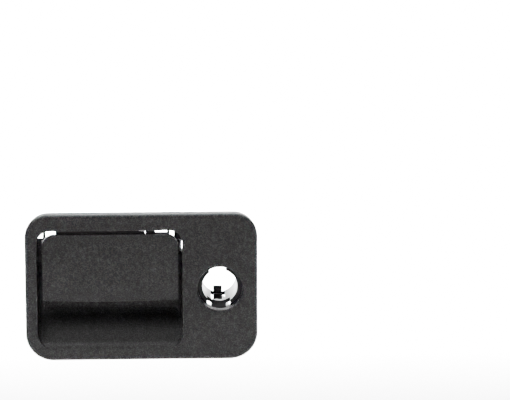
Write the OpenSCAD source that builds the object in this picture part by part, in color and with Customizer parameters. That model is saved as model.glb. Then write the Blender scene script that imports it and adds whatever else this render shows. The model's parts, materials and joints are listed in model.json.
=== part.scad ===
// Recessed car door handle: a bezel plate with a finger cup, a hinged pull flap with a
// release arm and return spring, an empty lock barrel bore and two long screw posts.
//
// Axes: +X runs towards the lock, -Y faces out of the door and +Z is up.
// The origin is on the lock bore's axis, on the seat that the lock barrel's head rests on.
// The modules are drawn round the middle of the plate, with Y = 0 where the gasket meets the door
// skin, and placed() moves them to that origin.

/* [Plate] */
// Width of the bezel plate
plate_w = 130; // [112:1:170]
// Height of the bezel plate
plate_h = 84; // [80:0.5:104]
// How far the front face stands out from the door skin
face_y = 8.2; // [8.2:0.1:11]
// Thickness of the front wall
plate_wall = 2.5; // [2:0.1:2.8]
// Depth of the visible rim in front of the gasket
rim_depth = 3.9; // [3.2:0.1:5]
// Thickness of the rim, which the gasket sits behind
rim_wall = 3.4; // [3:0.1:4.5]
// Radius of the two upper plate corners
corner_top = 13.5; // [9:0.5:18]
// Radius of the two lower plate corners
corner_low = 15.5; // [9:0.5:18]
// Rounding of the plate's front edge
edge_round = 1.6; // [0.6:0.1:1.9]

/* [Opening and finger cup] */
// From the plate's hinge-side edge to the opening
side_margin = 6.9; // [6:0.1:12]
// From the opening to the lock bore's axis
lock_margin = 21.1; // [18:0.1:26]
// From the plate's lock-side edge to the lock bore's axis
lock_edge = 21.1; // [20:0.1:26]
// From the plate's top edge to the opening
top_margin = 9.5; // [8.6:0.1:12]
// From the plate's bottom edge to the lowest point of the scoop
low_margin = 7.2; // [6:0.1:10]
// Radius of the opening's upper corners
opening_round = 7; // [4:0.5:9]
// Radius of the opening's lower corners
mouth_round = 8.5; // [5:0.5:10]
// Rounding of the opening's edge
lip_round = 0.8; // [0.3:0.1:1.2]
// Inside of the cup's back wall, behind the door skin
cup_back = 12.9; // [11:0.1:18]
// Wall of the cup
cup_wall = 1.9; // [1.5:0.1:2.6]
// Slope of the scoop up from the plate's lower edge, in degrees
scoop_angle = 36; // [30:1:42]
// Slope of the cup's roof, in degrees
roof_angle = 42; // [38:1:48]
// Rounding between the cup's back wall and its slopes
cup_round = 9; // [5:0.5:10]

/* [Flap] */
// Height of the pull flap
flap_h = 37.5; // [33:0.1:42]
// Thickness of the flap's front wall
flap_wall = 2; // [1.6:0.1:2.6]
// Depth of the flap's skirt
flap_depth = 3.6; // [3.2:0.1:4]
// Gap between the flap and the opening at the hinge-pin's short end
flap_end_gap = 2.9; // [1:0.1:4]
// Gap between the flap and the opening at the lock's end
flap_side_gap = 2.4; // [1:0.1:3]
// Gap between the flap and the opening at the top
flap_top_gap = 2.2; // [1.6:0.1:3]
// How much fuller the flap's face is at mid height than at its edges
flap_crown = 0.6; // [0:0.1:1.2]
// How far the flap's lower edge bows down at the middle
flap_bow = 1; // [0:0.1:2]
// Radius of the flap's upper corners
flap_corner = 6.5; // [4:0.5:8]
// Hinge axis, below the flap's top edge
hinge_drop = 8.4; // [7.8:0.1:9]

/* [Hinge pins, arm and spring] */
// Diameter of the hinge pins
pin_d = 4; // [3:0.1:4.4]
// Running clearance round a pin, on the radius
pin_clear = 0.05; // [0.03:0.01:0.1]
// Distance between the middles of the arm's two rails
rail_pitch = 7.3; // [7:0.1:8.5]
// Thickness of each rail
rail_wall = 1.5; // [1.2:0.1:2]
// How far the release pad stands behind the door skin
pad_y = 15.2; // [13:0.1:17]
// Width of the release pad
pad_w = 9.6; // [9:0.1:12]
// Outside diameter of the return spring
spring_d = 7.3; // [6.8:0.1:7.6]
// Diameter of the spring wire
wire_d = 1.1; // [0.8:0.1:1.2]
// Number of turns in the spring
spring_turns = 4; // [3:1:5]
// Length of the spring's long leg
spring_leg = 15; // [12:0.5:16]

/* [Lock barrel seat] */
// Height of the lock bore's axis from the middle of the plate
lock_z = -1.3; // [-3:0.1:2]
// Diameter of the lock bore
lock_d = 25.1; // [22:0.1:26]
// Outside diameter of the collar round the lock bore
collar_d = 30; // [29:0.1:31]
// How far the collar's centre sits above the lock bore's axis
collar_rise = 5.2; // [2:0.1:5.5]
// Rear end of the collar, behind the door skin
collar_end = 3; // [1.5:0.1:6]
// Outside diameter of the barrel sleeve
sleeve_d = 23.7; // [22.5:0.1:24]
// Inside diameter of the barrel sleeve
sleeve_bore = 19.6; // [18:0.1:20.5]
// Rear end of the sleeve, behind the door skin
sleeve_end = 21.4; // [18:0.1:30]
// Width of the key channel on top of the sleeve
channel_w = 12.4; // [12:0.1:15]
// Top of the key channel above the bore's axis
channel_h = 17.3; // [15:0.1:17.5]
// How far the key channel sits to the cup's side of the bore's axis
channel_shift = 1.2; // [0:0.1:1.5]
// Rear end of the round tongue in the channel
tongue_end = 33; // [26:0.5:36]

/* [Screw posts] */
// Rear end of the lower screw post, behind the door skin
post_low_end = 47.5; // [35:0.5:60]
// Diameter of the lower post's tip
post_low_d = 10.5; // [10:0.1:12]
// Rear end of the upper screw post, behind the door skin
post_high_end = 44; // [30:0.5:55]
// Diameter of the upper post's tip
post_high_d = 11.4; // [10:0.1:12]
// Outside diameter of the threaded inserts
insert_d = 7.6; // [7:0.1:8]
// Thread bore of the inserts (M6)
thread_bore = 5; // [4.2:0.1:5.6]
// Length of the threaded inserts
insert_len = 14; // [8:0.5:18]

/* [Gasket] */
// Width of the rubber gasket ring
gasket_w = 2.6; // [2:0.1:3]
// Inset of the gasket from the plate's edge
gasket_inset = 0.4; // [0.2:0.1:0.8]

/* [Hidden] */
$fn = 64;

black_face = "#2b2b2d";
black_part = "#1d1e20";
rubber = "#151516";
zinc = "#b9bcc0";
brass = "#b79a58";

eps = 0.01;
over = 20;                                   // overshoot of cutting tools
rib = 1.5;                                   // thickness of the moulded webs
rim_y = rim_depth - face_y;                  // rear of the rim, where the gasket sits
wall_y = plate_wall - face_y;                // rear of the plate's front wall

half_w = plate_w / 2;
half_h = plate_h / 2;
lock_x = half_w - lock_edge;

// Inner face of the opening and the cup
open_x0 = side_margin - half_w;
open_x1 = lock_x - lock_margin;
open_z0 = low_margin - half_h;
open_z1 = half_h - top_margin;
scoop_z = open_z0 + 1.6;                     // where the scoop's slope would meet the face
scoop_lip = 5;                               // rounding from the face into the scoop
mouth_z = open_z0 + 0.2;                     // bottom of the opening's outline
roof_y = -2;                                 // front edge of the cup's roof

// The flap and its hinge
flap_x0 = open_x0 + flap_end_gap;
flap_x1 = open_x1 - flap_side_gap;
flap_z1 = open_z1 - flap_top_gap;
flap_z0 = flap_z1 - flap_h;
hinge_z = flap_z1 - hinge_drop;
flap_back = flap_depth - face_y;             // rear of the flap's skirt
skirt = 1.6;                                 // thickness of the flap's skirt
flap_edge = 1.3;                             // rounding of the flap's front edge
roof_z = hinge_z - 5;                        // outer height of the roof at its front edge

// Places of the webs and of the hinge parts along X
main_wall_x = open_x1 - 3.7;                 // wall beside the arm
far_wall_x = open_x1 - 26.4;                 // wall beside the spring's leg
end_wall_x = flap_x0 + 1.1;                  // wall that holds the end pin
arm_x = open_x1 - 11.3;                        // middle of the release arm
rail_hi_x = arm_x + rail_pitch / 2;
rail_lo_x = arm_x - rail_pitch / 2;
boss_r = pin_d / 2 + 1.7;
boss_out = 1;                                // how far the far wall's boss stands out each side
main_boss = 1.6;                             // and the main wall's, towards the lock
pin_hole_r = pin_d / 2 + pin_clear;
pin_press_r = pin_d / 2;
lug_x = end_wall_x + 3;                      // the flap's own hinge lug
lug_w = 2;

// The two posts and their surroundings
post_low_x = lock_x + 1.4;
post_low_z = lock_z - 23.4;
post_high_x = open_x0 + 30.7;
post_high_z = hinge_z - 9.5;
post_high_root = 13;
upper_web_x = post_high_x - 10.8;             // plain web beside the upper post
post_low_root = 11.8;
insert_sink = 0.6;                           // the insert sits this far inside the tip

sleeve_y = wall_y + 3.6;                     // floor of the collar's recess: the sleeve's seat
flange_t = 1.1;
recess_wall = 1.3;                           // wall left round the recess
seat_gap = 0.1;                              // clearance round the sleeve's flange and channel

// ---------------------------------------------------------------- outline helpers

function unit(v) = v / norm(v);
function dir_in(p, i) = unit(p[(i + len(p) - 1) % len(p)] - p[i]);
function dir_out(p, i) = unit(p[(i + 1) % len(p)] - p[i]);
function half_angle(p, i) = acos(dir_in(p, i) * dir_out(p, i)) / 2;
function tangent(p, r, i) = r[i] / tan(half_angle(p, i));
function fillet_centre(p, r, i) =
    p[i] + unit(dir_in(p, i) + dir_out(p, i)) * r[i] / sin(half_angle(p, i));
function is_convex(p, i) = dir_out(p, i).x * dir_in(p, i).y - dir_out(p, i).y * dir_in(p, i).x > 0;

// Polygon with its own radius at each corner. The points run anticlockwise.
module soft_polygon(p, r) {
    difference() {
        union() {
            polygon([for (i = [0 : len(p) - 1])
                each r[i] > 0
                    ? [p[i] + dir_in(p, i) * tangent(p, r, i), p[i] + dir_out(p, i) * tangent(p, r, i)]
                    : [p[i]]]);
            for (i = [0 : len(p) - 1])
                if (r[i] > 0 && is_convex(p, i)) translate(fillet_centre(p, r, i)) circle(r[i]);
        }
        for (i = [0 : len(p) - 1])
            if (r[i] > 0 && !is_convex(p, i)) translate(fillet_centre(p, r, i)) circle(r[i]);
    }
}

// Rectangle with one radius at its lower corners and one at its upper corners
module soft_rect(x0, x1, z0, z1, r_low, r_top) {
    soft_polygon([[x0, z0], [x1, z0], [x1, z1], [x0, z1]], [r_low, r_low, r_top, r_top]);
}

// Extrude a front outline (X, Z) from depth y0 to depth y1
module along_y(y0, y1) {
    translate([0, y1, 0]) rotate([90, 0, 0]) linear_extrude(y1 - y0) children();
}

// Extrude a side outline (Y, Z) from x0 to x1
module along_x(x0, x1) {
    translate([x0, 0, 0]) rotate([90, 0, 90]) linear_extrude(x1 - x0) children();
}

// A thin web across X, with its middle at x
module web(x, t = rib) {
    along_x(x - t / 2, x + t / 2) children();
}

module block(a, b) {
    translate(a) cube(b - a);
}

// Round bar along Y, with a radius at each end
module bar_y(x, z, y0, y1, r0, r1) {
    translate([x, y0, z]) rotate([-90, 0, 0]) cylinder(h = y1 - y0, r1 = r0, r2 = r1);
}

// Round bar along X on the hinge axis
module hinge_bar(x0, x1, r) {
    translate([x0, 0, hinge_z]) rotate([0, 90, 0]) cylinder(h = x1 - x0, r = r);
}

// Run a small profile round a rectangle with round corners.
// The profile's x is the distance outwards from the outline and its y is the depth along Y.
module run_round(x0, x1, z0, z1, r_low, r_top) {
    translate([x1, 0, z0 + r_low]) linear_extrude(z1 - r_top - z0 - r_low) children();
    translate([x1 - r_top, 0, z1]) rotate([0, -90, 0]) linear_extrude(x1 - x0 - 2 * r_top) children();
    translate([x0, 0, z1 - r_top]) rotate([0, 180, 0])
        linear_extrude(z1 - r_top - z0 - r_low) children();
    translate([x0 + r_low, 0, z0]) rotate([0, 90, 0]) linear_extrude(x1 - x0 - 2 * r_low) children();
    for (c = [[x1 - r_low, z0 + r_low, 0, r_low], [x0 + r_low, z0 + r_low, 90, r_low],
              [x0 + r_top, z1 - r_top, 180, r_top], [x1 - r_top, z1 - r_top, -90, r_top]])
        translate([c[0], 0, c[1]]) rotate([0, c[2], 0]) rotate([-90, 0, 0])
            rotate_extrude(angle = 90) translate([c[3], 0]) children();
}

// Move the model from the middle of the plate to the barrel's seat on the lock bore's axis
module placed() {
    translate([-lock_x, -sleeve_y, -lock_z]) children();
}

// ---------------------------------------------------------------- the housing's outlines

// The plate's outline, drawn in by an inset
module plate_outline(inset) {
    soft_rect(inset - half_w, half_w - inset, inset - half_h, half_h - inset,
              corner_low - inset, corner_top - inset);
}

module plate_ring(inset_out, inset_in, y0, y1) {
    along_y(y0, y1) difference() {
        plate_outline(inset_out);
        plate_outline(inset_in);
    }
}

// Height of the scoop and of the roof at a depth, for a surface pushed out by grow
function scoop_at(y, grow) = scoop_z + (y + face_y) * tan(scoop_angle) - grow / cos(scoop_angle);
function roof_at(y, grow) =
    roof_z - (y - roof_y) * tan(roof_angle) + (grow - cup_wall) / cos(roof_angle);

// Section of the hollow inside the cup, open to the front
module hollow_section() {
    soft_polygon([[-over, -2 * over - half_h], [-face_y, -2 * over - half_h], [-face_y, scoop_z],
                  [cup_back, scoop_at(cup_back, 0)], [cup_back, roof_at(cup_back, 0)],
                  [roof_y, roof_at(roof_y, 0)], [roof_y, half_h + over], [-over, half_h + over]],
                 [0, 0, scoop_lip, cup_round - cup_wall, cup_round - cup_wall, 0, 0, 0]);
}

// Section of the cup's outside
module cup_section() {
    back = cup_back + cup_wall;
    front = wall_y - plate_wall / 2;
    soft_polygon([[front, scoop_at(front, cup_wall)], [back, scoop_at(back, cup_wall)],
                  [back, roof_at(back, cup_wall)], [roof_y, roof_z], [front, roof_z]],
                 [0, cup_round, cup_round, 0, 0]);
}

// The cup's outline from the front, and from above
module cup_front(grow) {
    soft_rect(open_x0 - grow, open_x1 + grow, mouth_z - grow, half_h, mouth_round + grow, eps);
}

module cup_plan(grow) {
    r = cup_round - 3 + grow;
    back = cup_back + grow;
    soft_polygon([[open_x0 - grow, -over], [open_x1 + grow, -over],
                  [open_x1 + grow, back], [open_x0 - grow, back]], [0, 0, r, r]);
}

module cup_solid() {
    intersection() {
        along_x(open_x0 - over, open_x1 + over) cup_section();
        along_y(-over, 2 * over) cup_front(cup_wall);
        translate([0, 0, -half_h - over]) linear_extrude(plate_h + 2 * over) cup_plan(cup_wall);
    }
}

module cup_hollow() {
    intersection() {
        along_x(open_x0 - over, open_x1 + over) hollow_section();
        along_y(wall_y - eps, 2 * over) cup_front(0);
        translate([0, 0, -half_h - over]) linear_extrude(plate_h + 2 * over) cup_plan(0);
    }
}

// The hole through the front wall, with its rounded edge
module opening_cut() {
    intersection() {
        along_x(open_x0 - over, open_x1 + over) hollow_section();
        union() {
            along_y(-face_y - 1, wall_y + eps)
                soft_rect(open_x0, open_x1, mouth_z, open_z1, mouth_round, opening_round);
            run_round(open_x0, open_x1, mouth_z, open_z1, mouth_round, opening_round)
                difference() {
                    translate([-eps, -face_y - 1]) square([lip_round + eps, lip_round + 1]);
                    translate([lip_round, lip_round - face_y]) circle(lip_round);
                }
        }
    }
}

// Front wall, rim and the thin wall that the gasket fits round
module plate_solid() {
    along_y(edge_round - face_y, wall_y) plate_outline(0);
    along_y(-face_y, edge_round - face_y + eps) plate_outline(edge_round);
    run_round(-half_w, half_w, -half_h, half_h, corner_low, corner_top)
        intersection() {
            translate([-edge_round, edge_round - face_y]) circle(edge_round);
            translate([-edge_round - eps, -face_y]) square([edge_round + eps, edge_round]);
        }
    plate_ring(0, rim_wall, wall_y - eps, rim_y);
    plate_ring(rim_wall, rim_wall + rib, wall_y - eps, -0.6);
}

// Outline of the collar round the lock bore, drawn in by an inset
module collar_outline(inset) {
    translate([lock_x, lock_z]) circle(collar_d / 2 - inset - 0.7);
    translate([lock_x, lock_z + collar_rise]) circle(collar_d / 2 - inset);
}

// ---------------------------------------------------------------- webs behind the plate

top_inner = half_h - rim_wall - rib / 2;     // inside of the thin wall, at the top
low_inner = -top_inner;
side_inner = half_w - rim_wall - rib / 2;
web_end = -0.8;                              // rear edge of the low webs
rib_end = 6.2;                               // rear edge of the ribs that enter the door's cut-out
sweep_y = 1.2;                               // webs behind the flap's top edge start here
sweep_top = hinge_z + 12.9;                  // and the flap's stop ledge swings below this height

// Side outline of a wall that carries a hinge pin. The front edge clears the swinging flap.
module hinge_wall_section(foot_y) {
    foot_z = roof_at(foot_y, cup_wall) - 0.5;
    soft_polygon([[wall_y - eps, top_inner], [wall_y - eps, sweep_top],
                  [sweep_y, sweep_top], [sweep_y, hinge_z + 8.6],
                  [-2.9, hinge_z + 1.6], [-3.2, hinge_z - 2.2], [roof_y - 0.4, roof_z - 1.2],
                  [foot_y, foot_z - 0.6], [foot_y + 0.9, foot_z],
                  [sweep_y + 3.6, hinge_z + 6], [sweep_y + 2.4, hinge_z + 10],
                  [web_end + 1, top_inner]],
                 [0, 0, 0.5, 0.5, 1, 1, 0, 0, 0, 2, 1, 0]);
}

module hinge_walls() {
    web(main_wall_x) hinge_wall_section(12.3);
    web(far_wall_x) hinge_wall_section(9.2);
    web(end_wall_x) hinge_wall_section(3.4);
    hinge_bar(far_wall_x - rib / 2 - boss_out, far_wall_x + rib / 2 + boss_out, boss_r);
    hinge_bar(main_wall_x - rib / 2, main_wall_x + rib / 2 + main_boss, boss_r);
    hinge_bar(end_wall_x - rib / 2 - 0.8, end_wall_x + rib / 2, boss_r);
}

// Side outline of a plain web across the upper part of the opening, from the top rim to the roof
module upper_web_section() {
    soft_polygon([[wall_y - eps, top_inner], [wall_y - eps, sweep_top],
                  [sweep_y, sweep_top], [sweep_y, roof_z - 4],
                  [sweep_y + 3, roof_z - 6], [sweep_y + 3, hinge_z + 9], [web_end + 1, top_inner]],
                 [0, 0, 0.5, 0, 0, 1.3, 0]);
}

module upper_web() {
    web(upper_web_x, 1.3) upper_web_section();
}

// Strips behind the flap's ends that close the side gaps
module side_ledges() {
    low = roof_z - 3.9;
    high = hinge_z + 4.5;
    head_r = 3.4;                            // room for the main pin's head
    block([open_x0 - cup_wall, sweep_y, low], [end_wall_x, sweep_y + rib, high]);
    difference() {
        block([main_wall_x, sweep_y, low], [open_x1 + cup_wall, sweep_y + rib, open_z1 + 0.8]);
        hinge_bar(main_wall_x + rib / 2 + main_boss, open_x1 + over, head_r);
    }
}

// Ribs between the cup and the rim, which centre the handle in the door's cut-out
module low_ribs() {
    rib_x = [open_x1 - 8.4, open_x1 - 17.1, open_x1 - 29.65, open_x0 + 42.1, open_x0 + 33.8,
             open_x0 + 24.7, open_x0 + 7];
    rib_front_h = 5;
    rib_rear_h = 9;
    for (x = rib_x)
        web(x) polygon([[wall_y - eps, low_inner], [rib_end, low_inner], [rib_end, low_inner + rib_rear_h],
                        [wall_y - eps, low_inner + rib_front_h]]);
    // long locating fin, which reaches up to the scoop and back into the door
    fin_x = open_x1 - 23.5;
    fin_t = 1.7;
    fin_y = [3, 12, 15.5, 17, 18.7];
    fin_h = [3, 14, 14.5, 18];
    web(fin_x, fin_t)
        soft_polygon([[fin_y[0], low_inner], [fin_y[3], low_inner], [fin_y[4], low_inner + fin_h[0]],
                      [fin_y[2], low_inner + fin_h[2]], [fin_y[1], low_inner + fin_h[3]],
                      [fin_y[0], low_inner + fin_h[1]]], [0, 1, 1, 1, 0, 0]);
}

// Ribs round the lock, up to the rim
module lock_webs() {
    front = wall_y - eps;
    // from the top rim to the collar
    tall_web_x = lock_x - 6.6;
    short_web_x = lock_x + 5.2;
    collar_top = lock_z + 15;
    web(tall_web_x, 1.4) polygon([[front, collar_top], [collar_end, collar_top],
                                  [collar_end, collar_top + 4], [web_end, collar_top + 11],
                                  [web_end, top_inner], [front, top_inner]]);
    web(short_web_x) polygon([[front, collar_top + 1.5], [web_end, collar_top + 1.5],
                              [web_end, top_inner], [front, top_inner]]);
    // shelves between the collar and the side, and the long web along the side
    high_shelf_z = lock_z + 28;
    side_shelf_z = lock_z + 17;
    block([short_web_x, front, high_shelf_z], [side_inner - 0.5, web_end, high_shelf_z + rib]);
    block([lock_x + 12.5, front, side_shelf_z], [side_inner, web_end, side_shelf_z + rib]);
    side_web_z = lock_z - 32;
    web(side_inner - 4) polygon([[front, side_web_z], [rib_end, side_web_z], [rib_end, side_web_z + 8],
                                 [web_end, side_web_z + 10], [web_end, side_shelf_z + 0.5],
                                 [front, side_shelf_z + 0.5]]);
    // three shelves between the collar and the cup, each a little shorter
    shelf_pitch = 8;
    for (k = [0 : 2])
        block([open_x1 + cup_wall - 0.5, front, lock_z + 0.8 - shelf_pitch * k],
              [lock_x - 7 - 2 * k, web_end + 0.6, lock_z + 0.8 + rib - shelf_pitch * k]);
    // small round bosses: below the collar, above it and at the opening's corner
    boss_places = [[lock_x - 14.5, lock_z - 23.2], [lock_x - 12.4, lock_z + 21.6], [open_x1 - 1.8, open_z1 + 2.3]];
    boss_ends = [0, wall_y + 1.2, 1.5];
    boss_radii = [3.2, 3.2, 2.6];
    for (k = [0 : 2])
        bar_y(boss_places[k].x, boss_places[k].y, front, boss_ends[k], boss_radii[k], boss_radii[k]);
}

// Ribs in the corners of the hinge end
module end_webs() {
    front = wall_y - eps;
    web_z = roof_z - 4;
    high_z = open_z1 - 5.2;
    low_z = open_z0 + 6;
    web(open_x0 - 2.8) polygon([[front, web_z], [web_end, web_z], [web_end, top_inner], [front, top_inner]]);
    block([-side_inner, front, high_z], [open_x0 - 0.8, web_end, high_z + rib]);
    block([-side_inner, front, low_z], [open_x0, web_end, low_z + rib]);
}

// ---------------------------------------------------------------- screw posts

// The posts stand on the back of the housing and are cut to its shape where they meet it
module post_low_solid() {
    difference() {
        union() {
            bar_y(post_low_x, post_low_z, wall_y, post_low_end, post_low_root / 2, post_low_d / 2);
            // gussets towards the collar and the lower rim
            web(post_low_x, 1.6) polygon([[wall_y, post_low_z], [18, post_low_z],
                                          [collar_end - 2, lock_z - 12], [wall_y, lock_z - 12]]);
            web(post_low_x, 1.6) polygon([[wall_y, low_inner - 1], [web_end, low_inner - 1],
                                          [14, post_low_z - 4], [wall_y, post_low_z]]);
        }
        along_y(wall_y - 1, collar_end + 1) collar_outline(0);
        plate_ring(rim_wall - 1, rim_wall + rib, wall_y - 1, 1);
    }
}

module post_high_solid() {
    gusset = post_high_x - upper_web_x;      // half width of the side gussets at the cup
    gusset_len = 32;
    difference() {
        union() {
            bar_y(post_high_x, post_high_z, roof_y, post_high_end, post_high_root / 2, post_high_d / 2);
            translate([post_high_x, 0, post_high_z - rib / 2]) linear_extrude(rib)
                polygon([[-gusset, roof_y + 2], [gusset, roof_y + 2], [5, gusset_len], [-5, gusset_len]]);
            // fin along the top of the post and up to the top rim
            web(post_high_x - 0.6, 1.3) polygon([[sweep_y, post_high_z], [gusset_len + 4, post_high_z],
                                                 [gusset_len + 4, post_high_z + 5.5], [10, post_high_z + 8.5],
                                                 [sweep_y + 3, hinge_z + 9], [sweep_y, hinge_z + 9]]);
            web(post_high_x - 0.6, 1.3) upper_web_section();
        }
        along_x(open_x0 - over, open_x1 + over) cup_section();
        along_x(open_x0 - over, open_x1 + over) hollow_section();
        block([upper_web_x - 2, -over, 0], [upper_web_x + 0.65, over, half_h]);
        plate_solid();
    }
}

// Blind bore of a post: a seat for the insert, and the screw's run-out beneath it
module post_bore(x, z, tip) {
    bar_y(x, z, tip - insert_sink - insert_len, tip + 1, insert_d / 2, insert_d / 2);
    bar_y(x, z, tip - insert_sink - insert_len - 6, tip, thread_bore / 2 + 0.5, thread_bore / 2 + 0.5);
}

// ---------------------------------------------------------------- the sub-parts

module housing() {
    color(black_face) placed() difference() {
        union() {
            difference() {
                union() {
                    plate_solid();
                    cup_solid();
                    intersection() {
                        union() {
                            low_ribs();
                            lock_webs();
                            end_webs();
                        }
                        along_y(-over, over) plate_outline(rim_wall + rib / 2);
                    }
                    along_y(wall_y - eps, collar_end) collar_outline(0);
                }
                cup_hollow();
                opening_cut();
            }
            hinge_walls();
            upper_web();
            side_ledges();
        }
        // lock bore, its chamfer and the recess for the sleeve's flange
        bar_y(lock_x, lock_z, -face_y - 1, collar_end + 1, lock_d / 2, lock_d / 2);
        bar_y(lock_x, lock_z, -face_y - eps, 0.7 - face_y, lock_d / 2 + 0.7, lock_d / 2);
        along_y(sleeve_y, collar_end + 1) {
            collar_outline(recess_wall);
            translate([lock_x - channel_shift - channel_w / 2 - seat_gap, lock_z])
                square([channel_w + 2 * seat_gap, channel_h + seat_gap]);
        }
        // pin holes
        hinge_bar(far_wall_x - rib / 2 - boss_out - 1, open_x1 - 1, pin_press_r);
        hinge_bar(open_x0 + 0.4, lug_x, pin_press_r);
    }
}

module post_low() {
    color(black_face) placed() difference() {
        post_low_solid();
        post_bore(post_low_x, post_low_z, post_low_end);
    }
}

module post_high() {
    color(black_face) placed() difference() {
        post_high_solid();
        post_bore(post_high_x, post_high_z, post_high_end);
    }
}

// Tube in the collar's seat. Its lower half is longer, and a ramp in the flange's slot leads
// from the bore up to the window in its lower wall.
module lock_sleeve() {
    r_out = sleeve_d / 2;
    r_in = sleeve_bore / 2;
    r_flange = collar_d / 2 - 0.7 - recess_wall - seat_gap;
    slot_top = channel_w - 3.2;              // width of the key channel's inside
    low_x = -0.6;                            // middle of the slot, ramp and window
    slot_w = 13;
    window_w = 8.2;
    ramp_end = sleeve_y + 6.1;
    window_y = ramp_end + 0.6;
    low_end = sleeve_end + 2.8;
    hook_w = 5;
    hook_z = 3.4 - r_in;                     // top of the hook
    tongue_r = 2.6;
    color(black_part) placed() translate([lock_x, 0, lock_z]) {
        difference() {
            union() {
                along_y(sleeve_y, sleeve_y + flange_t)
                    translate([-lock_x, -lock_z]) collar_outline(recess_wall + seat_gap);
                bar_y(0, 0, sleeve_y, sleeve_end, r_out, r_out);
                intersection() {
                    bar_y(0, 0, sleeve_y, low_end, r_out, r_out);
                    block([-over, sleeve_y, -over], [over, low_end, 0]);
                }
                translate([-channel_shift, 0, 0])
                    block([-channel_w / 2, sleeve_y, 0], [channel_w / 2, sleeve_end - 0.4, channel_h]);
            }
            bar_y(0, 0, sleeve_y - 1, low_end + 1, r_in, r_in);
            translate([-channel_shift, 0, 0])
                block([-slot_top / 2, sleeve_y - 1, 0], [slot_top / 2, sleeve_end + 1, channel_h - 1.6]);
            block([low_x - slot_w / 2, sleeve_y - 1, -over], [low_x + slot_w / 2, ramp_end, -r_in / 2]);
            block([low_x - window_w / 2, window_y, -over], [low_x + window_w / 2, low_end - 1.6, -r_in / 2]);
        }
        intersection() {
            bar_y(0, 0, sleeve_y, window_y, r_flange, r_flange);
            along_x(low_x - window_w / 2, low_x + window_w / 2)
                polygon([[sleeve_y, 0.25 - lock_d / 2], [ramp_end, -r_in], [window_y, -r_in],
                         [window_y, -r_out], [sleeve_y, -over]]);
        }
        // bulkhead in the channel, with the round tongue behind it
        translate([-channel_shift, 0, 0]) {
            block([-slot_top / 2 - 0.5, 14, r_in + 0.1], [slot_top / 2 + 0.5, 16, channel_h - 1]);
            bar_y(0, r_in + tongue_r + 0.1, 15, tongue_end, tongue_r, tongue_r);
        }
        // hook and foot at the rear of the lower wall
        along_x(low_x - hook_w / 2, low_x + hook_w / 2) {
            polygon([[low_end - 1.4, -r_in - 1], [low_end + 1.2, -r_in - 1], [low_end + 1.2, hook_z],
                     [low_end + 0.4, hook_z], [low_end - 1.4, hook_z - 2.4]]);
            translate([low_end - 3.6, -r_out - 1.5]) square([3.6, r_out - r_in + 0.9]);
        }
    }
}

module gasket() {
    color(rubber) placed() plate_ring(gasket_inset, gasket_inset + gasket_w, rim_y, 0);
}

// Outline of the flap from the front, drawn in by an inset
module flap_outline(inset) {
    width = flap_x1 - flap_x0 - 2 * inset;
    bow_r = (width * width / 4 + flap_bow * flap_bow) / (2 * flap_bow + eps);
    intersection() {
        soft_rect(flap_x0 + inset, flap_x1 - inset, flap_z0 - flap_bow - 2, flap_z1 - inset, 0, flap_corner - inset);
        translate([(flap_x0 + flap_x1) / 2, flap_z0 - flap_bow + inset + bow_r]) circle(bow_r, $fn = 96);
    }
}

// Side section of the flap: a crowned face between a round lower and a round upper edge.
// crown_at gives the depth of the face at a height.
function crown_at(z) = flap_crown * pow((2 * z - flap_z0 - flap_z1) / flap_h, 2) - face_y;
function edge_arc(z, sign, a0, a1) = [for (k = [0 : 5])
    let (a = a0 + (a1 - a0) * k / 5)
    [crown_at(z) + flap_edge * (1 - cos(a)), z + sign * flap_edge * sin(a)]];

module flap_section() {
    low = flap_z0 - flap_bow;
    lo_z = low + flap_edge;
    hi_z = flap_z1 - flap_edge;
    steps = 14;
    polygon(concat(
        [[flap_back, flap_z1]],
        edge_arc(hi_z, 1, 90, 0),
        [for (k = [1 : steps - 1]) let (z = hi_z + (lo_z - hi_z) * k / steps) [crown_at(z), z]],
        edge_arc(lo_z, -1, 0, 90),
        [[flap_back, low]]));
}

module flap_shell() {
    color(black_face) placed() {
        difference() {
            intersection() {
                along_x(flap_x0, flap_x1) flap_section();
                along_y(-over, over) flap_outline(0);
            }
            along_y(flap_wall - face_y, over) flap_outline(skirt);
        }
    }
}

// Ledge along the flap's top edge that stops behind the plate and closes the gap above the flap.
// Its top is above the opening's edge by rise.
module stop_ledge(x0, x1, rise) {
    neck_y = flap_back + 0.1;
    back_y = flap_back + 0.9;
    head_y = wall_y + 0.4;
    head_z = flap_z1 + 0.15;
    along_x(x0, x1)
        polygon([[flap_back - 0.1, flap_z1 - 5], [back_y, flap_z1 - 5], [back_y, open_z1 + rise],
                 [head_y, open_z1 + rise], [head_y, head_z], [neck_y, head_z], [neck_y, flap_z1 - skirt - 0.2],
                 [flap_back - 0.1, flap_z1 - skirt - 0.2]]);
}

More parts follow.
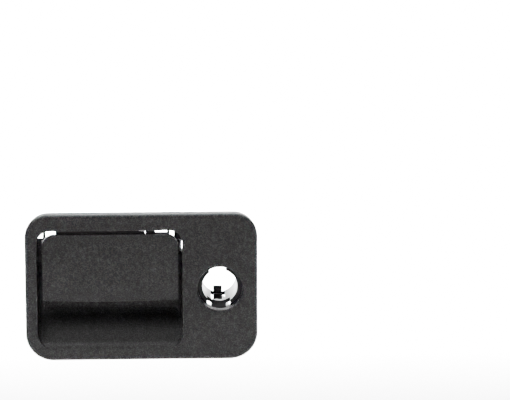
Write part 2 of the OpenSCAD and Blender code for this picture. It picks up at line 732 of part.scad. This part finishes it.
// Back of the flap, with the lug that turns on the end pin
module flap_backing() {
    front = flap_wall - face_y;
    panel_x1 = rail_lo_x - rail_wall / 2 - 4.9;
    notch_x = flap_x0 + 34.6;
    notch_w = 4.8;
    color(black_part) placed() difference() {
        union() {
            along_y(front, flap_back) intersection() {
                flap_outline(skirt + 0.1);
                translate([flap_x0, flap_z0 - over]) square([panel_x1 - flap_x0, flap_h + 2 * over]);
            }
            along_x(lug_x - lug_w / 2, lug_x + lug_w / 2) {
                translate([0, hinge_z]) circle(boss_r);
                polygon([[front + 0.5, hinge_z + 3], [front + 0.5, hinge_z - 6.4], [0.5, hinge_z - boss_r + 0.1],
                         [0, hinge_z + boss_r], [-1.5, hinge_z + boss_r]]);
            }
            stop_ledge(flap_x0 + 7.6, notch_x - notch_w / 2, 0.8);
            stop_ledge(notch_x - notch_w / 2 - eps, notch_x + notch_w / 2 + eps, -0.4);
            stop_ledge(notch_x + notch_w / 2, far_wall_x + 2.3, 0.8);
            stop_ledge(far_wall_x + 2.3 - eps, panel_x1, -0.7);
        }
        hinge_bar(lug_x - lug_w, lug_x + lug_w, pin_hole_r);
        bar_y(post_high_x + 6, hinge_z + 2, flap_back - 1.2, flap_back + 1, 3.2, 3.2);
    }
}

// Lever behind the flap that pushes on the latch: two rails, two cross ribs and a round pad
module release_arm() {
    front = flap_wall - face_y;
    foot_x0 = rail_lo_x - rail_wall / 2 - 4.7;
    foot_top = flap_z1 - skirt - 0.3;
    low_edge = hinge_z - 4.7;                // clears the roof's front edge as the arm swings
    pad_top = hinge_z - 1.4;
    pad_h = 5.8;
    color(black_part) placed() difference() {
        union() {
            for (x = [rail_lo_x, rail_hi_x])
                web(x, rail_wall) soft_polygon([[front, hinge_z - 9], [roof_y - 1.2, hinge_z - 9],
                                           [roof_y - 0.5, low_edge], [1, low_edge],
                                           [3.6, hinge_z - 5.6], [pad_y - 1.5, pad_top - pad_h + 0.8],
                                           [pad_y - 1.5, pad_top], [3.2, hinge_z + 3.4],
                                           [flap_back + 1, foot_top - 0.6], [front, foot_top - 0.6]],
                                          [0, 0.4, 0.6, 1, 1, 0, 1, 4, 1, 0]);
            // foot against the back of the flap
            along_y(front, flap_back) intersection() {
                flap_outline(skirt + 0.1);
                translate([foot_x0, flap_z0 + skirt + 2])
                    square([rail_hi_x + rail_wall / 2 + 1.9 - foot_x0, foot_top - flap_z0 - skirt - 2]);
            }
            stop_ledge(foot_x0, rail_lo_x, -0.4);
            stop_ledge(rail_lo_x - eps, rail_hi_x, -1.6);
            stop_ledge(rail_hi_x - rail_wall / 2, rail_hi_x + rail_wall / 2, 0.8);
            // cross ribs
            for (y = [-1.1, 9.4])
                block([rail_lo_x, y - 0.6, low_edge], [rail_hi_x, y + 0.6, hinge_z - 2.3]);
            // pad with a round lower edge
            intersection() {
                along_y(pad_y - 1.8, pad_y) translate([arm_x, pad_top]) round_segment(pad_w / 2, pad_h);
                block([arm_x - pad_w, pad_y - 2, pad_top - pad_h - 1], [arm_x + pad_w, pad_y + 1, pad_top]);
            }
        }
        hinge_bar(rail_lo_x - 3, rail_hi_x + 3, pin_hole_r);
    }
}

// Circular segment, wide 2 * half and high h, drawn as part of one true circle
module round_segment(half, h) {
    r = (half * half + h * h) / (2 * h);
    translate([0, r - h]) circle(r);
}

module main_pin() {
    x0 = far_wall_x - rib / 2 - boss_out;
    x1 = main_wall_x + rib / 2 + main_boss;
    color(zinc) placed() {
        hinge_bar(x0 - 0.3, x1, pin_d / 2);
        hinge_bar(x1, x1 + 1.1, pin_d / 2 + 1);
    }
}

module end_pin() {
    color(zinc) placed() hinge_bar(end_wall_x - rib / 2 - 0.8, lug_x + lug_w / 2 + 0.4, pin_d / 2);
}

// ---------------------------------------------------------------- return spring

// Route of the spring's wire: short leg, turns round the pin, long leg.
// The coil runs from the arm towards the spring bush.
function coil_r() = (spring_d - wire_d) / 2;
function coil_x0() = rail_lo_x - rail_wall / 2 - wire_d / 2 - 0.35;
function coil_pitch() = wire_d + 0.12;
function coil_point(a) =
    [coil_x0() - coil_pitch() * a / 360, coil_r() * cos(a + 90), hinge_z + coil_r() * sin(a + 90)];

coil_steps = 20;                             // rings in one turn
coil_a1 = 360 * spring_turns + 180;
coil_end = coil_point(coil_a1);
coil_path = concat(
    [[coil_x0(), -4.2 + wire_d, hinge_z + coil_r()]],
    [for (k = [0 : coil_steps * spring_turns + coil_steps / 2]) coil_point(360 * k / coil_steps)],
    [coil_end + [-0.6, 2, -0.2], coil_end + [-3.2, spring_leg, -1.6]]);

function path_dir(p, i) = unit(p[min(i + 1, len(p) - 1)] - p[max(i - 1, 0)]);
function side_dir(d) = unit(cross(d, abs(d.x) > 0.9 ? [0, 1, 0] : [1, 0, 0]));

// Round wire along a path, with flat ends
module wire(path, r, sides) {
    n = len(path);
    points = [for (i = [0 : n - 1])
        let (d = path_dir(path, i), u = side_dir(d), v = cross(d, u))
        for (k = [0 : sides - 1]) path[i] + r * (cos(360 * k / sides) * u + sin(360 * k / sides) * v)];
    quads = [for (i = [0 : n - 2], k = [0 : sides - 1])
        [i * sides + k, i * sides + (k + 1) % sides, (i + 1) * sides + (k + 1) % sides, (i + 1) * sides + k]];
    polyhedron(points, concat(quads, [[for (k = [sides - 1 : -1 : 0]) k]],
                              [[for (k = [0 : sides - 1]) (n - 1) * sides + k]]));
}

module return_spring() {
    color(zinc) placed() wire(coil_path, wire_d / 2, 8);
}

module spring_bush() {
    x0 = far_wall_x + rib / 2 + boss_out + 0.1;
    x1 = coil_end.x - wire_d / 2 - 0.3;
    color(black_part) placed() difference() {
        hinge_bar(x0, x1, 2.8);
        hinge_bar(x0 - 1, x1 + 1, pin_hole_r);
    }
}

module insert(x, z, tip) {
    color(brass) placed() difference() {
        bar_y(x, z, tip - insert_sink - insert_len, tip - insert_sink, insert_d / 2, insert_d / 2);
        bar_y(x, z, tip - insert_len - over, tip + 1, thread_bore / 2, thread_bore / 2);
    }
}

module insert_low() {
    insert(post_low_x, post_low_z, post_low_end);
}

module insert_high() {
    insert(post_high_x, post_high_z, post_high_end);
}

housing();
post_low();
post_high();
lock_sleeve();
gasket();
flap_shell();
flap_backing();
release_arm();
main_pin();
end_pin();
return_spring();
spring_bush();
insert_low();
insert_high();
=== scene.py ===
"""Looks of a recessed car door handle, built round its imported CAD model.

The row frame is in metres: +X towards the lock, -Y out of the door, +Z up, with the origin on the
lock bore's axis at the seat of the lock barrel. The hinge lies in the plane of the door skin.
"""

import json
import math

import bmesh
import bpy
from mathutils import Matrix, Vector

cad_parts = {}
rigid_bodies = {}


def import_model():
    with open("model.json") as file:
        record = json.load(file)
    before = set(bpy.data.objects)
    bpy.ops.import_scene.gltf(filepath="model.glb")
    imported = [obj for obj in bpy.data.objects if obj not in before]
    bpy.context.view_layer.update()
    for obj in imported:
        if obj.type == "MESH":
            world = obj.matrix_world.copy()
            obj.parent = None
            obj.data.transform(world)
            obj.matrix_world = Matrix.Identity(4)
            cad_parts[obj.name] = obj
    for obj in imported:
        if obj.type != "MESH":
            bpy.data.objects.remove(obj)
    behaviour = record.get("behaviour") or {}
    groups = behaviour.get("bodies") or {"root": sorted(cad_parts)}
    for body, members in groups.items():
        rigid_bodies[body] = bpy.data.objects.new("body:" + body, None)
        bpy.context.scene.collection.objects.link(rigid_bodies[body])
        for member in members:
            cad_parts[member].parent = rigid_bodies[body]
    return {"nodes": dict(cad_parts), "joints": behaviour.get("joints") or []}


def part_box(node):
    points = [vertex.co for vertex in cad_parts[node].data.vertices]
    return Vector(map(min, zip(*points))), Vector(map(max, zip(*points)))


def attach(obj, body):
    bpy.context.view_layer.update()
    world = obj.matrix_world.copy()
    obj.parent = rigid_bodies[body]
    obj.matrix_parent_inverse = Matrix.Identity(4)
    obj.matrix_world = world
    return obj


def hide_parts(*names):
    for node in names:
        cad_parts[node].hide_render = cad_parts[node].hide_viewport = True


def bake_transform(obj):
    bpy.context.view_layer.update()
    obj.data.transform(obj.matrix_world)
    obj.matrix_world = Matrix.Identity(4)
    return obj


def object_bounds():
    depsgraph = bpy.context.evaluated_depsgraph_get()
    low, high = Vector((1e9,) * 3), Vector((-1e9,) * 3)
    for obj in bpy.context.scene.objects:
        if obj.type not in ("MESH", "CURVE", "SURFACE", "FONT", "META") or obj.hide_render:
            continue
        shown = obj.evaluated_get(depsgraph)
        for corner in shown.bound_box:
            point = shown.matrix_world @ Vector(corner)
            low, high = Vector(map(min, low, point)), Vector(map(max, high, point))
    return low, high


MM = 0.001


def clear_scene():
    for obj in list(bpy.data.objects):
        bpy.data.objects.remove(obj)


clear_scene()
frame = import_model()
cad_low, cad_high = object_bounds()

nodes = frame["nodes"]
joint = frame["joints"][0]
HINGE = Vector(joint["pos_m"])             # on the hinge axis, in the plane of the door skin
FIXED = joint["parent"]
MOVING = joint["child"]
REAR = Vector((0, 1, 0))

plate_low, plate_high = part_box("housing")
gasket_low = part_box("gasket")[0]
flap_low, flap_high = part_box("flap_shell")
FACE_Y = plate_low.y                      # front of the plate
RIM_Y = gasket_low.y                      # rear of the plate's rim
PLATE_WALL = 2.5 * MM
CUP_WALL = 1.9 * MM
CUP_BACK = HINGE.y + 12.9 * MM            # inside of the cup's back wall
ROOF_Y = HINGE.y - 2 * MM                 # front edge of the cup's roof
ROOF_DROP = 5 * MM                        # from the hinge axis down to that edge's top


# ------------------------------------------------------------------ materials

class Nodes:
    """A short way to write a node tree."""

    def __init__(self, name):
        self.material = bpy.data.materials.new(name)
        self.material.use_nodes = True
        self.tree = self.material.node_tree
        self.shader = self.tree.nodes["Principled BSDF"]
        self.place = self.add("ShaderNodeTexCoord").outputs["Object"]

    def add(self, kind, **settings):
        node = self.tree.nodes.new(kind)
        for key, value in settings.items():
            setattr(node, key, value)
        return node

    def link(self, a, b):
        self.tree.links.new(a, b)

    def noise(self, size, detail=3.0, rough=0.55, stretch=(1, 1, 1)):
        """Noise whose blobs are about size metres across."""
        mapping = self.add("ShaderNodeMapping")
        mapping.inputs["Scale"].default_value = stretch
        self.link(self.place, mapping.inputs["Vector"])
        node = self.add("ShaderNodeTexNoise")
        node.inputs["Scale"].default_value = 1 / size
        node.inputs["Detail"].default_value = detail
        node.inputs["Roughness"].default_value = rough
        self.link(mapping.outputs["Vector"], node.inputs["Vector"])
        return node.outputs["Fac"]

    def pebbles(self, size, smooth=0.6):
        """Rounded cells about size metres across."""
        node = self.add("ShaderNodeTexVoronoi", feature="SMOOTH_F1")
        node.inputs["Scale"].default_value = 1 / size
        node.inputs["Smoothness"].default_value = smooth
        self.link(self.place, node.inputs["Vector"])
        return node.outputs["Distance"]

    def ramp(self, value, low, high, at=(0.3, 0.7)):
        """value from at[0] to at[1] mapped onto low to high, as a number or a grey or a colour."""
        node = self.add("ShaderNodeMapRange")
        node.inputs["From Min"].default_value = at[0]
        node.inputs["From Max"].default_value = at[1]
        node.inputs["To Min"].default_value = low
        node.inputs["To Max"].default_value = high
        self.link(value, node.inputs["Value"])
        return node.outputs["Result"]

    def colours(self, value, stops):
        node = self.add("ShaderNodeValToRGB")
        ramp = node.color_ramp
        while len(ramp.elements) < len(stops):
            ramp.elements.new(0.5)
        for element, (place, colour) in zip(ramp.elements, stops):
            element.position = place
            element.color = (*colour, 1)
        self.link(value, node.inputs["Fac"])
        return node.outputs["Color"]

    def math(self, operation, a, b):
        node = self.add("ShaderNodeMath", operation=operation)
        for socket, value in zip(node.inputs, (a, b)):
            if isinstance(value, (int, float)):
                socket.default_value = value
            else:
                self.link(value, socket)
        return node.outputs["Value"]

    def bump(self, height, distance, strength=1.0, below=None):
        node = self.add("ShaderNodeBump")
        node.inputs["Distance"].default_value = distance
        node.inputs["Strength"].default_value = strength
        self.link(height, node.inputs["Height"])
        if below is not None:
            self.link(below, node.inputs["Normal"])
        return node.outputs["Normal"]

    def set(self, **values):
        for name, value in values.items():
            socket = self.shader.inputs[name.replace("_", " ")]
            if isinstance(value, (int, float, tuple)):
                socket.default_value = value
            else:
                self.link(value, socket)
        return self.material


def grained_plastic(name):
    """Charcoal plastic with a spark-eroded grain, as on the visible face."""
    n = Nodes(name)
    coarse = n.noise(0.7 * MM, detail=2, rough=0.5)
    fine = n.noise(0.4 * MM, detail=2.5, rough=0.6)
    cells = n.pebbles(0.9 * MM)
    clouds = n.noise(9 * MM, detail=2)
    grain = n.math("ADD", n.math("MULTIPLY", coarse, 0.6), n.math("MULTIPLY", fine, 0.4))
    height = n.math("ADD", grain, n.math("MULTIPLY", cells, -0.5))
    speck = n.colours(grain, [(0.40, (0.008, 0.008, 0.0083)), (0.50, (0.019, 0.019, 0.0195)),
                              (0.60, (0.048, 0.048, 0.049))])
    rough = n.math("ADD", n.ramp(grain, 0.42, 0.62, (0.4, 0.6)), n.ramp(clouds, -0.03, 0.03))
    return n.set(Base_Color=speck, Roughness=rough, Specular_IOR_Level=0.5,
                 Normal=n.bump(height, 0.22 * MM, 1.0))


def smooth_plastic(name, base, gloss, sheen=0.34):
    """Black plastic as it leaves a plain mould: smooth, with faint flow clouds."""
    n = Nodes(name)
    clouds = n.noise(7 * MM, detail=4, stretch=(1, 0.4, 1))
    fine = n.noise(0.35 * MM, detail=2)
    shade = n.colours(clouds, [(0.3, tuple(0.85 * c for c in base)), (0.7, tuple(1.25 * c for c in base))])
    rough = n.math("ADD", n.ramp(clouds, gloss - 0.04, gloss + 0.05), n.ramp(fine, -0.03, 0.03))
    waves = n.bump(clouds, 0.10 * MM, 0.35)
    return n.set(Base_Color=shade, Roughness=rough, Specular_IOR_Level=sheen,
                 Normal=n.bump(fine, 0.012 * MM, 0.6, waves))


def rubber(name):
    n = Nodes(name)
    fine = n.noise(0.3 * MM, detail=3)
    clouds = n.noise(5 * MM)
    shade = n.colours(clouds, [(0.3, (0.012, 0.012, 0.012)), (0.7, (0.02, 0.02, 0.0205))])
    return n.set(Base_Color=shade, Roughness=n.ramp(fine, 0.62, 0.8),
                 Normal=n.bump(fine, 0.03 * MM, 0.8))


def plated_steel(name, tint, rough_low, rough_high, along):
    """Zinc-plated steel with faint drawing lines."""
    n = Nodes(name)
    lines = n.noise(0.25 * MM, detail=3, stretch=along)
    clouds = n.noise(1.6 * MM, detail=3)
    shade = n.colours(clouds, [(0.3, tuple(0.8 * c for c in tint)), (0.7, tint)])
    rough = n.math("ADD", n.ramp(lines, rough_low, rough_high), n.ramp(clouds, -0.05, 0.08))
    return n.set(Base_Color=shade, Metallic=1.0, Roughness=rough, Normal=n.bump(lines, 0.01 * MM, 0.5))


face_plastic = grained_plastic("face_plastic")
back_plastic = smooth_plastic("back_plastic", (0.012, 0.012, 0.0123), 0.36)
inner_plastic = smooth_plastic("inner_plastic_look", (0.016, 0.016, 0.0165), 0.33)
gasket_rubber = rubber("gasket_rubber_look")
pin_steel = plated_steel("pin_steel_look", (0.30, 0.31, 0.32), 0.42, 0.58, (0.08, 1, 1))
spring_steel = plated_steel("spring_steel_look", (0.66, 0.67, 0.68), 0.20, 0.34, (1, 1, 1))
insert_brass = plated_steel("insert_brass_look", (0.60, 0.46, 0.24), 0.24, 0.42, (1, 0.1, 1))


# ------------------------------------------------------------------ the CAD nodes

def scoop_height(y):
    """Height of the cup's lower slope at a depth."""
    mouth = 8.8 * MM                       # height of the slope's start above the plate's lower edge
    return plate_low.z + mouth + (y - FACE_Y) * math.tan(math.radians(36))


def roof_height(y):
    """Height of the inside of the cup's roof at a depth."""
    slope = math.radians(42)
    inside = HINGE.z - ROOF_DROP - CUP_WALL / math.cos(slope)
    return inside - (y - ROOF_Y) * math.tan(slope)


def is_face(centre, normal):
    """Whether a face of the housing is on the visible side: the plate's front, its edge or the cup."""
    tiny = 0.1 * MM
    if centre.y < RIM_Y + tiny and normal.y < 0.5:
        if centre.y < FACE_Y + PLATE_WALL + tiny:
            return True
        edge = 0.2 * MM
        return (centre.x < plate_low.x + edge or centre.x > plate_high.x - edge
                or centre.z < plate_low.z + edge or centre.z > plate_high.z - edge)
    left, right = 2.2 * MM, 2.8 * MM       # reach past the flap's two ends
    in_cup = (flap_low.x - left < centre.x < flap_high.x + right
              and scoop_height(centre.y) - tiny < centre.z
              and centre.y < CUP_BACK + tiny)
    if not in_cup:
        return False
    if centre.y > ROOF_Y:
        return centre.z < roof_height(centre.y) + tiny
    return centre.z < HINGE.z - ROOF_DROP


def finish_node(name, materials, bevel, choose=None):
    """Give a CAD node its materials, and rounded edges with modifiers."""
    obj = nodes[name]
    mesh = obj.data
    mesh.materials.clear()
    for material in materials:
        mesh.materials.append(material)
    if choose:
        for face in mesh.polygons:
            face.material_index = choose(face.center, face.normal)
    for imported in ("custom_normal", "sharp_edge"):
        if imported in mesh.attributes:
            mesh.attributes.remove(mesh.attributes[imported])
    for face in mesh.polygons:
        face.use_smooth = True
    weld = obj.modifiers.new("weld", "WELD")
    weld.merge_threshold = 0.002 * MM
    flat = obj.modifiers.new("flat", "DECIMATE")
    flat.decimate_type = "DISSOLVE"
    flat.angle_limit = math.radians(0.8)
    flat.delimit = {"MATERIAL"}
    if bevel:
        edge = obj.modifiers.new("edge", "BEVEL")
        edge.width = bevel
        edge.segments = 2
        edge.limit_method = "ANGLE"
        edge.angle_limit = math.radians(32)
        edge.use_clamp_overlap = True
        edge.harden_normals = True
    smooth = obj.modifiers.new("smooth", "WEIGHTED_NORMAL")
    smooth.keep_sharp = True


finish_node("housing", [face_plastic, back_plastic], 0.22 * MM,
            lambda centre, normal: 0 if is_face(centre, normal) else 1)
for name, material, bevel in (
        ("post_low", back_plastic, 0.22), ("post_high", back_plastic, 0.22),
        ("lock_sleeve", inner_plastic, 0.2), ("gasket", gasket_rubber, 0.45),
        ("flap_shell", face_plastic, 0.3), ("flap_backing", back_plastic, 0.2),
        ("release_arm", inner_plastic, 0.2), ("main_pin", pin_steel, 0.2), ("end_pin", pin_steel, 0.2),
        ("return_spring", spring_steel, 0), ("spring_bush", inner_plastic, 0.15),
        ("insert_low", insert_brass, 0.15), ("insert_high", insert_brass, 0.15)):
    finish_node(name, [material], bevel * MM)


# ------------------------------------------------------------------ added pieces

def new_piece(name, body, points, faces, material):
    """A mesh piece that rides on a body, or on none."""
    mesh = bpy.data.meshes.new(name)
    mesh.from_pydata(points, [], faces)
    mesh.update()
    build = bmesh.new()
    build.from_mesh(mesh)
    bmesh.ops.recalc_face_normals(build, faces=build.faces)
    build.to_mesh(mesh)
    build.free()
    for face in mesh.polygons:
        face.use_smooth = True
    mesh.materials.append(material)
    obj = bpy.data.objects.new(name, mesh)
    bpy.context.scene.collection.objects.link(obj)
    if body:
        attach(obj, body)
    return obj


def revolve(profile, steps, place, axis):
    """Closed ring: a closed profile of (radius, height) turned about an axis."""
    turn = axis.normalized().to_track_quat("Z", "Y").to_matrix()
    points, faces, n = [], [], len(profile)
    for k in range(steps):
        a = 2 * math.pi * k / steps
        for r, h in profile:
            points.append(tuple(place + turn @ Vector((r * math.cos(a), r * math.sin(a), h))))
    for k in range(steps):
        m = (k + 1) % steps
        for i in range(n):
            j = (i + 1) % n
            faces.append((k * n + i, m * n + i, m * n + j, k * n + j))
    return points, faces


def tube(path, radius, sides):
    """Round wire along a path, its ends closed with a small dome."""
    points, faces = [], []
    count = len(path)
    normal = Vector((1, 0, 0))
    rings = []
    for i, p in enumerate(path):
        ahead = (path[min(i + 1, count - 1)] - path[max(i - 1, 0)]).normalized()
        normal = normal - normal.dot(ahead) * ahead
        normal = normal.normalized() if normal.length > 1e-6 else ahead.orthogonal().normalized()
        side = ahead.cross(normal)
        if i == 0:
            rings.append((p - ahead * radius * 0.35, radius * 0.55, normal, side))
        rings.append((p, radius, normal, side))
        if i == count - 1:
            rings.append((p + ahead * radius * 0.35, radius * 0.55, normal, side))
    for centre, r, u, v in rings:
        for k in range(sides):
            a = 2 * math.pi * k / sides
            points.append(tuple(centre + r * (math.cos(a) * u + math.sin(a) * v)))
    for i in range(len(rings) - 1):
        for k in range(sides):
            m = (k + 1) % sides
            faces.append((i * sides + k, i * sides + m, (i + 1) * sides + m, (i + 1) * sides + k))
    faces.append(tuple(range(sides - 1, -1, -1)))
    last = (len(rings) - 1) * sides
    faces.append(tuple(range(last, last + sides)))
    return points, faces


def curve_through(points, steps):
    """Smooth path through a few points (Catmull-Rom)."""
    path = []
    for i in range(len(points) - 1):
        a = points[max(i - 1, 0)]
        b, c = points[i], points[i + 1]
        d = points[min(i + 2, len(points) - 1)]
        for k in range(steps):
            t = k / steps
            path.append(0.5 * ((2 * b) + (c - a) * t + (2 * a - 5 * b + 4 * c - d) * t * t
                               + (3 * b - a - 3 * c + d) * t ** 3))
    path.append(points[-1])
    return path


def return_spring():
    """Close-wound torsion spring, its long leg on the housing's side and its short leg on the flap's side;
    the wire rides on no body.
    """
    low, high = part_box("return_spring")
    wire = 1.1 * MM
    coil = 3.1 * MM                        # from the hinge axis to the middle of the wire
    turns = 4.5
    pitch = 1.22 * MM
    steps = 40                             # points in one turn
    start = high.x - wire / 2
    path = [Vector((start, HINGE.y - leg * MM, HINGE.z + coil)) for leg in (3.7, 2.4, 1.2)]
    for k in range(int(steps * turns) + 1):
        turned = k / steps
        a = 2 * math.pi * turned + math.pi / 2
        round_axis = Vector((0, coil * math.cos(a), coil * math.sin(a)))
        path.append(Vector((start - pitch * turned, HINGE.y, HINGE.z)) + round_axis)
    end = path[-1]
    tip = Vector((low.x + wire / 2, high.y - wire * 0.6, end.z - 1.6 * MM))
    knee = end + Vector((-0.6 * MM, 2 * MM, -0.2 * MM))
    steps_a_leg = 6
    leg = curve_through([path[-2], end, knee, tip + (knee - tip) * 0.5, tip], steps_a_leg)
    path += leg[steps_a_leg + 1:]          # the coil already has the stretch up to its end
    points, faces = tube(path, wire / 2, 14)
    obj = new_piece("spring_wire", None, points, faces, spring_steel)
    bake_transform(obj)
    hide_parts("return_spring")


def threaded_insert(node, name):
    """Brass insert with a real thread inside and a countersunk mouth."""
    low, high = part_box(node)
    middle = (low + high) / 2
    outer = (high.x - low.x) / 2
    length = high.y - low.y
    crest, root, pitch = 2.5 * MM, 2.98 * MM, 1.0 * MM
    around, along = 48, 8
    rows = int(length / pitch * along)
    points, faces = [], []
    mouth = 0.5 * MM
    for i in range(rows + 1):
        y = high.y - length * i / rows
        for k in range(around):
            a = 2 * math.pi * k / around
            phase = ((high.y - y) / pitch + k / around) % 1.0
            ridge = 1 - abs(2 * phase - 1)
            r = crest + (root - crest) * min(1.0, max(0.0, (ridge - 0.12) / 0.72))
            depth = min(high.y - y, y - low.y)
            if depth < mouth:
                r = max(r, root + (mouth - depth) * 0.6)
            points.append((middle.x + r * math.cos(a), y, middle.z + r * math.sin(a)))
    for i in range(rows):
        for k in range(around):
            m = (k + 1) % around
            faces.append((i * around + k, i * around + m, (i + 1) * around + m, (i + 1) * around + k))
    first = len(points)
    rims = [(outer - 0.25 * MM, high.y), (outer, high.y - 0.25 * MM), (outer, low.y + 0.25 * MM),
            (outer - 0.25 * MM, low.y)]
    for r, y in rims:
        for k in range(around):
            a = 2 * math.pi * k / around
            points.append((middle.x + r * math.cos(a), y, middle.z + r * math.sin(a)))
    loops = [0] + [first + j * around for j in range(4)] + [rows * around]
    for p, q in zip(loops, loops[1:]):
        for k in range(around):
            m = (k + 1) % around
            faces.append((p + k, p + m, q + m, q + k))
    obj = new_piece(name, FIXED, points, faces, insert_brass)
    split = obj.modifiers.new("split", "EDGE_SPLIT")
    split.split_angle = math.radians(40)
    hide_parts(node)


def witness_ring(name, body, place, axis, radius, material):
    """Raised round line that an ejector pin leaves on a moulding."""
    w, h = 0.22 * MM, 0.07 * MM
    sunk = -0.15 * MM
    profile = [(radius - w, sunk), (radius - w * 0.7, h * 0.5), (radius, h),
               (radius + w * 0.7, h * 0.5), (radius + w, sunk)]
    points, faces = revolve(profile, 72, place, axis)
    return new_piece(name, body, points, faces, material)


return_spring()
threaded_insert("insert_low", "thread_low")
threaded_insert("insert_high", "thread_high")

for number, across in enumerate((75, 23)):
    place = Vector((plate_low.x + across * MM, CUP_BACK + CUP_WALL, -6.9 * MM))
    witness_ring(f"cup_witness_{number}", FIXED, place, REAR, 5.3 * MM, back_plastic)

for number, across in enumerate((44.1, 11)):
    place = Vector((flap_low.x + across * MM, flap_high.y, HINGE.z - 0.4 * MM))
    witness_ring(f"flap_witness_{number}", MOVING, place, REAR, 3.4 * MM, back_plastic)


# ------------------------------------------------------------------ stage, light and camera

def plain(name, colour, roughness):
    """A plain matt material for the stage."""
    material = bpy.data.materials.new(name)
    material.use_nodes = True
    shader = material.node_tree.nodes["Principled BSDF"]
    shader.inputs["Base Color"].default_value = (*colour, 1)
    shader.inputs["Roughness"].default_value = roughness
    return material


def backdrop():
    """A pale floor that curves up into a wall behind the handle."""
    floor_z = cad_low.z - 60 * MM
    wall_y = cad_high.y + 1500 * MM
    radius = 300 * MM
    half = 4.0
    outline = [(-4.0, floor_z), (wall_y - radius, floor_z)]
    for k in range(1, 13):
        turn = math.radians(90 * k / 12)
        outline.append((wall_y - radius + radius * math.sin(turn), floor_z + radius * (1 - math.cos(turn))))
    outline.append((wall_y, floor_z + 4.0))
    mesh = bpy.data.meshes.new("backdrop")
    points = [(x, y, z) for y, z in outline for x in (-half, half)]
    faces = [(2 * k, 2 * k + 1, 2 * k + 3, 2 * k + 2) for k in range(len(outline) - 1)]
    mesh.from_pydata(points, [], faces)
    for face in mesh.polygons:
        face.use_smooth = True
    obj = bpy.data.objects.new("backdrop", mesh)
    bpy.context.scene.collection.objects.link(obj)
    mesh.materials.append(plain("backdrop_white", (0.9, 0.9, 0.9), 0.9))


def area_light(name, place, target, width, height, power, spread=180):
    light = bpy.data.lights.new(name, "AREA")
    light.shape = "RECTANGLE"
    light.size = width
    light.size_y = height
    light.energy = power
    light.spread = math.radians(spread)
    obj = bpy.data.objects.new(name, light)
    obj.location = place
    obj.rotation_euler = (Vector(target) - Vector(place)).to_track_quat("-Z", "Y").to_euler()
    bpy.context.scene.collection.objects.link(obj)
    return obj


def studio():
    world = bpy.data.worlds.new("studio")
    world.use_nodes = True
    world.node_tree.nodes["Background"].inputs["Color"].default_value = (1, 1, 1, 1)
    world.node_tree.nodes["Background"].inputs["Strength"].default_value = 0.15
    bpy.context.scene.world = world
    middle = (cad_low + cad_high) / 2
    area_light("key", middle + Vector((-0.5, -1.0, 1.5)), middle, 1.2, 0.9, 22)
    area_light("rear", middle + Vector((0.4, 1.1, 1.7)), middle, 1.2, 0.9, 9)
    # a soft box straight above the floor that the camera sees behind the handle
    floor_behind = middle + Vector((0.2, 0.95, 0))
    area_light("floor_wash", floor_behind + Vector((0, 0, 1.2)), floor_behind, 2.6, 1.4, 520, spread=40)


def camera():
    """A long lens at the front, a little above, with the handle low and to the left of the picture."""
    distance = 1584.638 * MM
    tilt = math.radians(14.5)
    aim_right = 63.926 * MM
    aim_up = 48.378 * MM
    middle = Vector(((plate_low.x + plate_high.x) / 2, FACE_Y, (plate_low.z + plate_high.z) / 2))
    place = middle + distance * Vector((0, -math.cos(tilt), math.sin(tilt)))
    up = Vector((0, math.sin(tilt), math.cos(tilt)))
    aim = middle + Vector((aim_right, 0, 0)) + aim_up * up
    data = bpy.data.cameras.new("camera")
    data.lens = 200
    data.sensor_width = 36
    data.clip_start = 0.01
    obj = bpy.data.objects.new("camera", data)
    obj.location = place
    obj.rotation_euler = (aim - place).to_track_quat("-Z", "Y").to_euler()
    bpy.context.scene.collection.objects.link(obj)
    bpy.context.scene.camera = obj


backdrop()
studio()
camera()
